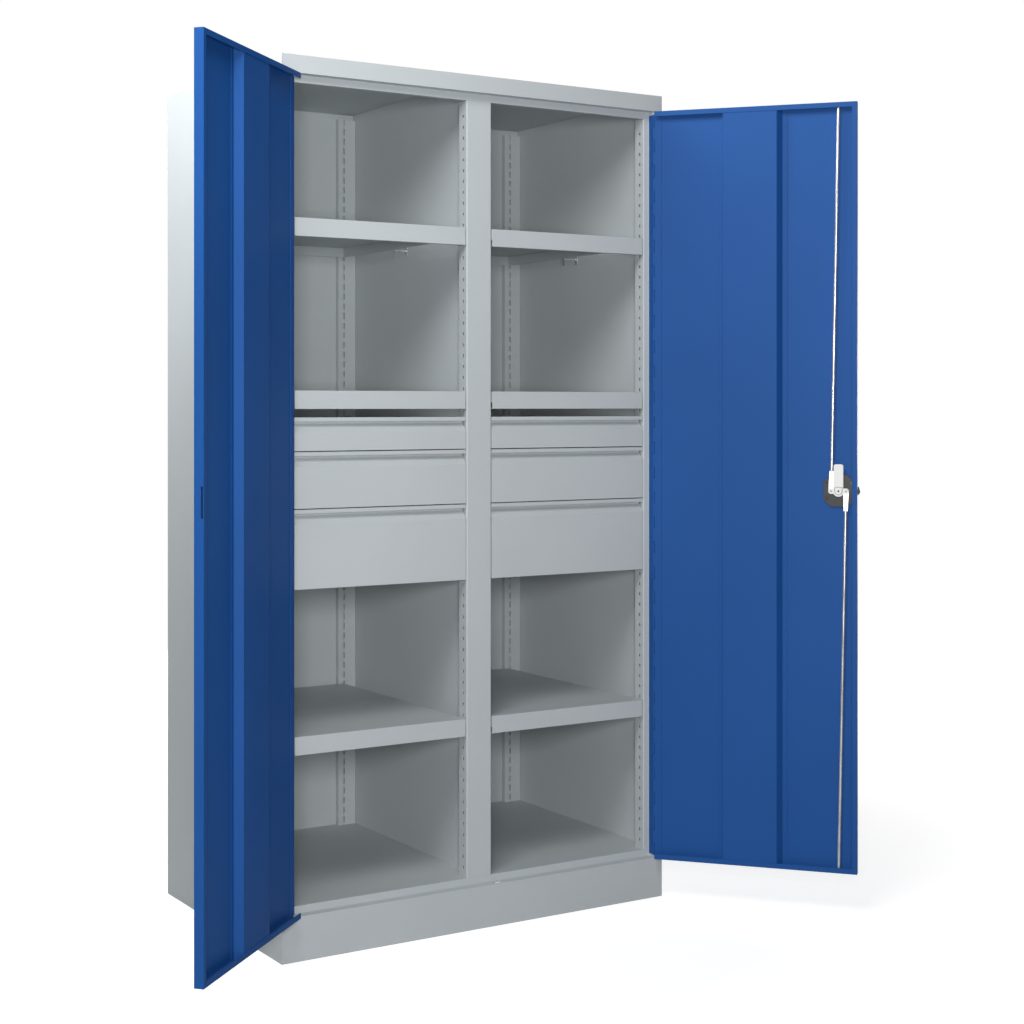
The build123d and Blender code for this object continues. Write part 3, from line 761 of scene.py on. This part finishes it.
@dataclass
class Hinge:
    """The continuous hinge of a door, with a knuckle every few centimetres."""

    door: DoorFrame
    low: float = 0.104
    high: float = 1.9025
    count: int = 59
    leaf: float = 0.0012
    leaf_out: float = 0.0032
    knuckle: float = 0.003
    facets: int = 14
    width: float = 0.02
    gap: float = 0.0006
    leaf_start: float = 0.0034
    tongue: float = 0.0036
    tongue_inset: float = 0.0002

    def build(self, on_door: bool, mesh: Mesh) -> None:
        """Add one leaf with every second knuckle.

        Args:
            on_door: Whether it is the door's leaf.
            mesh: The mesh that takes it.
        """
        hand = -self.door.side.value
        move = self.door.matrix(closed=not on_door)
        near, far = self.leaf_out - self.leaf, self.leaf_out
        pitch = (self.high - self.low) / self.count
        length = pitch - self.gap
        if on_door:
            edges = sorted((self.leaf_start * hand, self.width * hand))
            block(mesh, (edges[0], near, self.low), (edges[1], far, self.high), move)
        else:
            edges = sorted((-near * hand, -far * hand))
            block(mesh, (edges[0], self.leaf_start, self.low), (edges[1], self.width, self.high), move)
        for index in range(1 if on_door else 0, self.count, 2):
            start = self.low + index * pitch + self.gap / 2
            end = start + length
            verts = rod(mesh, (0.0, 0.0, start + length / 2), self.knuckle, length, self.facets)
            bmesh.ops.transform(mesh, matrix=move, verts=verts)
            outer = far - self.tongue_inset
            if on_door:
                edges = sorted((0.0, self.tongue * hand))
                block(mesh, (edges[0], near, start), (edges[1], outer, end), move)
            else:
                edges = sorted((-near * hand, -outer * hand))
                block(mesh, (edges[0], 0.0, start), (edges[1], self.tongue, end), move)


@dataclass
class Hinges:
    """Both doors' hinges, as finely divided as the real ones."""

    doors: Sequence[DoorFrame]

    def dress(self) -> None:
        """Make the leaves and let them stand for the plain ones."""
        posts = bmesh.new()
        for door in self.doors:
            word = door.side.word
            Hinge(door).build(False, posts)
            leaf = bmesh.new()
            Hinge(door).build(True, leaf)
            piece = make_piece(f"{word}_hinge_leaf", leaf, f"{word}_door", Finish.DOOR_BLUE)
            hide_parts(f"{word}_door_hinge_leaf")
        piece = make_piece("post_hinge_knuckles", posts, "cabinet", Finish.DOOR_BLUE)
        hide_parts("post_hinge_leaves")


@dataclass
class SlottedUprights:
    """The rear uprights, with the row of slots that the plain solids lack."""

    face: float = 0.05
    sheet: float = 0.0015
    slot_width: float = 0.0056
    slot_length: float = 0.0145
    pitch: float = 0.025
    from_edge: float = 0.013
    first_top: float = 1.934
    foot: float = 0.004

    def strip(self, mesh: Mesh, wall_x: float, inward: float, low: Vector, high: Vector) -> None:
        """Add one upright: a slotted face and a leg that runs back to the rear wall.

        Args:
            mesh: The mesh that takes it.
            wall_x: X of the wall at its side.
            inward: Sign of X from the wall to the upright's free edge.
            low: Lowest corner of all uprights.
            high: Highest corner of them.
        """
        part = bmesh.new()
        edge_x = wall_x + inward * self.face
        bmesh.ops.create_grid(part, x_segments=1, y_segments=1, size=0.5)
        turn = Matrix.Rotation(QUARTER, 4, "X")
        place = Matrix.Translation(((wall_x + edge_x) / 2, low.y + self.sheet / 2, (low.z + high.z) / 2))
        scale = Matrix.Diagonal((self.face - self.sheet, 1.0, high.z - low.z, 1.0))
        bmesh.ops.transform(part, matrix=place @ scale @ turn, verts=part.verts)
        slot_near = edge_x - inward * self.from_edge
        slot_far = slot_near - inward * self.slot_width
        rows = []
        top = self.first_top
        while top - self.slot_length > low.z + self.foot:
            rows.append((top - self.slot_length, top))
            top -= self.pitch
        for x in (slot_near, slot_far):
            cut(part, (x, 0, 0), (1, 0, 0))
        for row in rows:
            for z in row:
                cut(part, (0, 0, z), (0, 0, 1))
        slot_low, slot_high = sorted((slot_near, slot_far))
        holes = []
        for spot in part.faces:
            centre = spot.calc_center_median()
            in_row = any(lower < centre.z < upper for lower, upper in rows)
            if in_row and slot_low < centre.x < slot_high:
                holes.append(spot)
        bmesh.ops.delete(part, geom=holes, context="FACES")
        bmesh.ops.solidify(part, geom=part.faces[:], thickness=self.sheet)
        middle = sum(vert.co.y for vert in part.verts) / len(part.verts)
        bmesh.ops.translate(part, verts=part.verts, vec=(0, low.y + self.sheet / 2 - middle, 0))
        bmesh.ops.recalc_face_normals(part, faces=part.faces)
        leg = sorted((edge_x, edge_x - inward * self.sheet))
        block(part, (leg[0], low.y + self.sheet, low.z), (leg[1], high.y, high.z))
        seam = sorted((edge_x, edge_x - inward * self.sheet * 0.5))
        block(part, (seam[0], low.y, low.z), (seam[1], low.y + self.sheet, high.z))
        merge(mesh, part)

    def dress(self) -> None:
        """Make the four uprights and let them stand for the plain ones."""
        low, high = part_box("rear_uprights")
        mesh = bmesh.new()
        half = self.sheet / 2
        for wall_x, inward in ((low.x, 1.0), (-half, -1.0), (half, 1.0), (high.x, -1.0)):
            self.strip(mesh, wall_x, inward, low, high)
        piece = make_piece("slotted_rear_uprights", mesh, "cabinet", Finish.CARCASS_GREY)
        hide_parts("rear_uprights")


@dataclass
class DividerSlots:
    """Pressed curved ribs on a bottom drawer's sides, which take loose dividers."""

    side: Side
    rows: Sequence[float] = (0.849, 0.923)
    first: float = -0.226
    last: float = 0.23
    pitch: float = 0.03
    height: float = 0.024
    bow: float = 0.004
    depth: float = 0.0006
    half_width: float = 0.0016
    proud: float = 0.4
    wall: float = 0.208

    def dress(self) -> None:
        """Add both sides' ribs to the drawer."""
        drawer = f"{self.side.word}_bottom_drawer"
        low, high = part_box(f"{drawer}_box")
        centre = (low.x + high.x) / 2
        mesh = bmesh.new()
        count = int((self.last - self.first) / self.pitch) + 1
        for outward in (-1.0, 1.0):
            for row in self.rows:
                for index in range(count):
                    along = self.first + index * self.pitch
                    self.rib(mesh, centre + outward * self.wall, outward, along, row)
        name = f"{self.side.word}_bottom_divider_ribs"
        make_piece(name, mesh, drawer, Finish.CARCASS_GREY, smooth=True)

    def rib(self, mesh: Mesh, x: float, outward: float, y: float, z: float) -> None:
        """Add one bowed rib.

        Args:
            mesh: The mesh that takes it.
            x: X of the wall that it stands on.
            outward: Sign of X away from the wall.
            y: Its place along the drawer.
            z: Its middle height.
        """
        made = bmesh.ops.create_icosphere(mesh, subdivisions=2, radius=1.0)["verts"]
        scale = Matrix.Diagonal((self.depth, self.half_width, self.height / 2, 1.0))
        bmesh.ops.transform(mesh, matrix=scale, verts=made)
        for vert in made:
            vert.co.y += self.bow * (1.0 - (2.0 * vert.co.z / self.height) ** 2)
        bmesh.ops.translate(mesh, verts=made, vec=(x + outward * self.depth * self.proud, y, z))


@dataclass
class ShelfBrackets:
    """Zinc brackets that reach from the walls to the side flanges of the shelves, half way back."""

    wall: float = 0.511
    partition: float = 0.00075
    flange: float = 0.025
    place: float = 0.037
    width: float = 0.007
    bar_width: float = 0.0042
    bar_height: float = 0.0035
    head_below: float = 0.0168
    head_above: float = 0.0042
    foot_below: float = 0.0147
    foot_above: float = 0.0084
    foot_width: float = 0.0112
    sheet: float = 0.0015
    lug: float = 0.006
    play: float = 0.0003
    edge: float = 0.0004
    rows: Sequence[str] = ("upper", "middle", "lower")

    def bracket(self, mesh: Mesh, wall_x: float, edge_x: float, top: float) -> None:
        """Add one bracket: a bar, a T across its end and a lug under the flange.

        Args:
            mesh: The mesh that takes it.
            wall_x: X of the wall that it stands on.
            edge_x: X of the shelf's side flange.
            top: Height of the flange's lower edge.
        """
        inward = 1.0 if edge_x > wall_x else -1.0
        tab_x = edge_x - inward * self.play
        part = bmesh.new()
        head_x = tab_x - inward * self.sheet
        lug_x = tab_x + inward * self.lug
        foot_x = wall_x + inward * self.sheet
        under = top - self.play
        for near, far, low, high, width in (
            (wall_x, tab_x, under - self.bar_height, under, self.bar_width),
            (head_x, tab_x, top - self.head_below, top + self.head_above, self.width),
            (tab_x, lug_x, under - self.sheet, under, self.width),
            (wall_x, foot_x, top - self.foot_below, top + self.foot_above, self.foot_width),
        ):
            start, end = sorted((near, far))
            block(part, (start, self.place - width / 2, low), (end, self.place + width / 2, high))
        ease(part, self.edge)
        merge(mesh, part)

    def dress(self) -> None:
        """Hang two brackets under each shelf."""
        mesh = bmesh.new()
        for side in Side:
            for row in self.rows:
                low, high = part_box(f"{side.word}_{row}_shelf")
                near, far = (low.x, high.x) if side is Side.LEFT else (high.x, low.x)
                top = high.z - self.flange
                self.bracket(mesh, side.value * self.wall, near, top)
                self.bracket(mesh, side.value * self.partition, far, top)
        make_piece("shelf_brackets", mesh, "cabinet", Finish.ZINC)


@dataclass
class LockTrim:
    """The spring clip over the cam's hub, a black rim round the clip that is painted shadow for the gap
    at its edge, a dark pin on its axis and the rivets that hold the rods.
    """

    door: DoorFrame
    lock_x: float = 0.4418
    lock_z: float = 0.995
    cam_back: float = 0.0186
    crank: float = 0.017
    clip_radius: float = 0.0082
    clip_top: float = 0.0098
    clip_height: float = 0.0013
    # Width and thickness of the black rim under the clip: painted shadow for the gap round the clip's
    # edge.
    shadow_rim_width: float = 0.0009
    shadow_rim_height: float = 0.0004
    rivet_radius: float = 0.0026
    rivet_height: float = 0.0011
    pin_radius: float = 0.0022
    pin_height: float = 0.0007
    edge: float = 0.0003

    def tongue(self, mesh: Mesh, radius: float, top: float, height: float) -> None:
        """Add a plate with a round foot and a straight top.

        Args:
            mesh: The mesh that takes it.
            radius: Radius of its foot.
            top: Height of its top over the cam's axis.
            height: Its thickness.
        """
        part = bmesh.new()
        turn = Matrix.Rotation(-QUARTER, 4, "X")
        bmesh.ops.create_circle(part, cap_ends=True, segments=32, radius=radius, matrix=turn)
        upper_half = [vert for vert in part.verts if vert.co.z > radius * 0.05]
        for vert in upper_half:
            vert.co.z = top
        raised = bmesh.ops.extrude_face_region(part, geom=part.faces[:])["geom"]
        moved = [item for item in raised if isinstance(item, bmesh.types.BMVert)]
        bmesh.ops.translate(part, verts=moved, vec=(0.0, height, 0.0))
        bmesh.ops.recalc_face_normals(part, faces=part.faces)
        ease(part, min(self.edge, height / 3))
        bmesh.ops.translate(part, verts=part.verts, vec=(-self.lock_x, self.cam_back, self.lock_z))
        bmesh.ops.transform(part, matrix=self.door.matrix(), verts=part.verts)
        merge(mesh, part)

    def dome(self, mesh: Mesh, x: float, y: float, radius: float, height: float) -> None:
        """Add a flat dome on the lock.

        Args:
            mesh: The mesh that takes it.
            x: Its place across the door, from the cam's axis.
            y: Depth of its foot.
            radius: Its radius.
            height: Its height.
        """
        made = bmesh.ops.create_uvsphere(mesh, u_segments=20, v_segments=10, radius=1.0)["verts"]
        shape = Matrix.Diagonal((radius, height, radius, 1.0)) @ Matrix.Rotation(QUARTER, 4, "X")
        bmesh.ops.transform(mesh, matrix=shape, verts=made)
        place = self.door.matrix() @ Matrix.Translation((x - self.lock_x, y, self.lock_z))
        bmesh.ops.transform(mesh, matrix=place, verts=made)

    def dress(self) -> None:
        """Make the clip, the black rim under it that is painted shadow for the gap round its edge, the
        dark pin on its axis and the rivets.
        """
        shadow_rim_and_pin = bmesh.new()
        # A black plate wider and taller than the clip: painted shadow for the gap round the clip.
        self.tongue(shadow_rim_and_pin, self.clip_radius + self.shadow_rim_width, self.clip_top, self.shadow_rim_height)
        self.dome(shadow_rim_and_pin, 0.0, self.cam_back + self.clip_height, self.pin_radius, self.pin_height)
        make_piece("lock_hub_shadow_rim_and_pin", shadow_rim_and_pin, "lock", Finish.BLACK_PLASTIC)
        clip = bmesh.new()
        # The clip's top sits lower by the rim's width so that the painted shadow shows above it too.
        self.tongue(clip, self.clip_radius, self.clip_top - self.shadow_rim_width, self.clip_height)
        make_piece("lock_hub_clip", clip, "lock", Finish.CAST_WHITE)
        rivets = bmesh.new()
        for side in (-1.0, 1.0):
            self.dome(rivets, side * self.crank, self.cam_back, self.rivet_radius, self.rivet_height)
        make_piece("lock_rivets", rivets, "lock", Finish.GALVANISED, smooth=True)


@dataclass
class SpotWelds:
    """Faint round dimples where the stiffeners are welded to the doors."""

    door: DoorFrame
    lines: Sequence[float] = (0.166, 0.316)
    low: float = 0.16
    high: float = 1.86
    pitch: float = 0.1
    radius: float = 0.003
    facets: int = 16
    thickness: float = 0.0003
    skin: float = 0.003

    def dress(self) -> None:
        """Add the dimples to the door."""
        hand = -self.door.side.value
        mesh = bmesh.new()
        turn = Matrix.Rotation(QUARTER, 4, "X")
        count = int((self.high - self.low) / self.pitch) + 1
        for across in self.lines:
            for index in range(count):
                centre = (hand * across, self.skin, self.low + index * self.pitch)
                verts = rod(mesh, centre, self.radius, self.thickness, self.facets, turn)
                bmesh.ops.transform(mesh, matrix=self.door.matrix(), verts=verts)
        word = self.door.side.word
        make_piece(f"{word}_spot_welds", mesh, f"{word}_door", Finish.DOOR_BLUE)


@dataclass
class CadDressing:
    """Which finish each carried-over node gets."""

    slots: dict[str, Finish] = field(default_factory=lambda: {
        "door_blue": Finish.DOOR_BLUE,
        "carcass_grey": Finish.CARCASS_GREY,
        "zinc": Finish.ZINC,
        "galvanised": Finish.GALVANISED,
        "black_plastic": Finish.BLACK_PLASTIC,
        "white_plastic": Finish.GLIDE_WHITE,
        "cylinder_chrome": Finish.CHROME,
    })
    own: dict[str, Finish] = field(default_factory=lambda: {
        "lock_cam": Finish.CAST_WHITE,
        "lock_screws": Finish.BLACKENED_STEEL,
    })

    def dress(self) -> None:
        """Give every CAD node its finish."""
        for entry in frame["record"]["subparts"]:
            name = entry["node"]
            finish = self.own.get(name, self.slots[entry["material_slot"]])
            coat(frame["nodes"][name], finish)
            log.info("%s: %s", name, finish.name)


@dataclass(frozen=True)
class SoftPanel:
    """A square lamp with soft edges. Its size is in metres and its power in watts."""

    name: str
    place: Point
    target: Point
    size: float
    power: float

    def hang(self) -> None:
        """Hang the lamp and point it at its target."""
        light = bpy.data.lights.new(self.name, "AREA")
        light.shape = "SQUARE"
        light.size = self.size
        light.energy = self.power
        obj = bpy.data.objects.new(self.name, light)
        bpy.context.scene.collection.objects.link(obj)
        obj.location = self.place
        obj.rotation_mode = "QUATERNION"
        obj.rotation_quaternion = (Vector(self.target) - Vector(self.place)).to_track_quat("-Z", "Y")


@dataclass
class Studio:
    """Pale floor, soft light and the camera at the photograph's angle."""

    camera_at: Point = (-2.1455, -3.706, 1.196)
    yaw: float = 30.99
    lens: float = 61.56
    sensor: float = 36.0
    sight: float = 200.0
    shift: tuple[float, float] = (0.068, -0.104)
    floor_size: float = 30.0
    panels: Sequence[SoftPanel] = (
        SoftPanel("front_light", (-2.1, -3.75, 1.35), (0.1, 0.0, 1.1), 0.6, 80.0),
        SoftPanel("top_light", (-1.4, -1.6, 3.0), (-0.2, -0.2, 1.6), 1.2, 39.0),
        SoftPanel("side_light", (-1.6, 0.2, 2.7), (-0.5, 0.0, 1.6), 0.8, 34.0),
        SoftPanel("back_light", (0.9, 4.4, 1.1), (0.0, 0.3, 1.0), 1.0, 55.0),
        SoftPanel("right_light", (4.3, 0.8, 1.1), (0.5, 0.0, 1.0), 1.0, 55.0),
    )

    def floor(self) -> None:
        """Lay the floor."""
        mesh = bmesh.new()
        bmesh.ops.create_grid(mesh, x_segments=8, y_segments=8, size=self.floor_size)
        data = bpy.data.meshes.new("studio_floor")
        mesh.to_mesh(data)
        mesh.free()
        obj = bpy.data.objects.new("studio_floor", data)
        bpy.context.scene.collection.objects.link(obj)
        obj.data.materials.append(StudioGround().build())

    def backdrop(self) -> None:
        """Make a white world that the camera sees and that lights nothing."""
        world = bpy.data.worlds.new("studio_world")
        world.use_nodes = True
        graph = Graph(world.node_tree)
        back = world.node_tree.nodes["Background"]
        back.inputs["Color"].default_value = (1.0, 1.0, 1.0, 1.0)
        seen = graph.node("ShaderNodeLightPath").outputs["Is Camera Ray"]
        graph.join(seen, back.inputs["Strength"])
        bpy.context.scene.world = world
        bpy.context.scene.view_settings.view_transform = "Standard"

    def camera(self) -> None:
        """Set the camera where the photograph was taken from."""
        lens = bpy.data.cameras.new("photo_camera")
        lens.lens = self.lens
        lens.sensor_width = self.sensor
        lens.shift_x, lens.shift_y = self.shift
        lens.clip_end = self.sight
        camera = bpy.data.objects.new("photo_camera", lens)
        camera.location = self.camera_at
        camera.rotation_euler = (QUARTER, 0.0, math.radians(-self.yaw))
        bpy.context.scene.collection.objects.link(camera)
        bpy.context.scene.camera = camera

    def build(self) -> None:
        """Set up the floor, the backdrop, the lights and the camera."""
        self.floor()
        self.backdrop()
        for panel in self.panels:
            panel.hang()
        self.camera()


def main() -> None:
    """Dress the cabinet and light it."""
    logging.basicConfig(level=logging.INFO, format="%(name)s: %(message)s")
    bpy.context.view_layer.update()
    doors = [DoorFrame(Side.LEFT, opening=138.7), DoorFrame(Side.RIGHT, opening=131.5)]
    CadDressing().dress()
    Hinges(doors).dress()
    SlottedUprights().dress()
    for side in Side:
        DividerSlots(side).dress()
    for door in doors:
        SpotWelds(door).dress()
    ShelfBrackets().dress()
    LockTrim(doors[1]).dress()
    Studio().build()


if __name__ == "__main__":
    main()
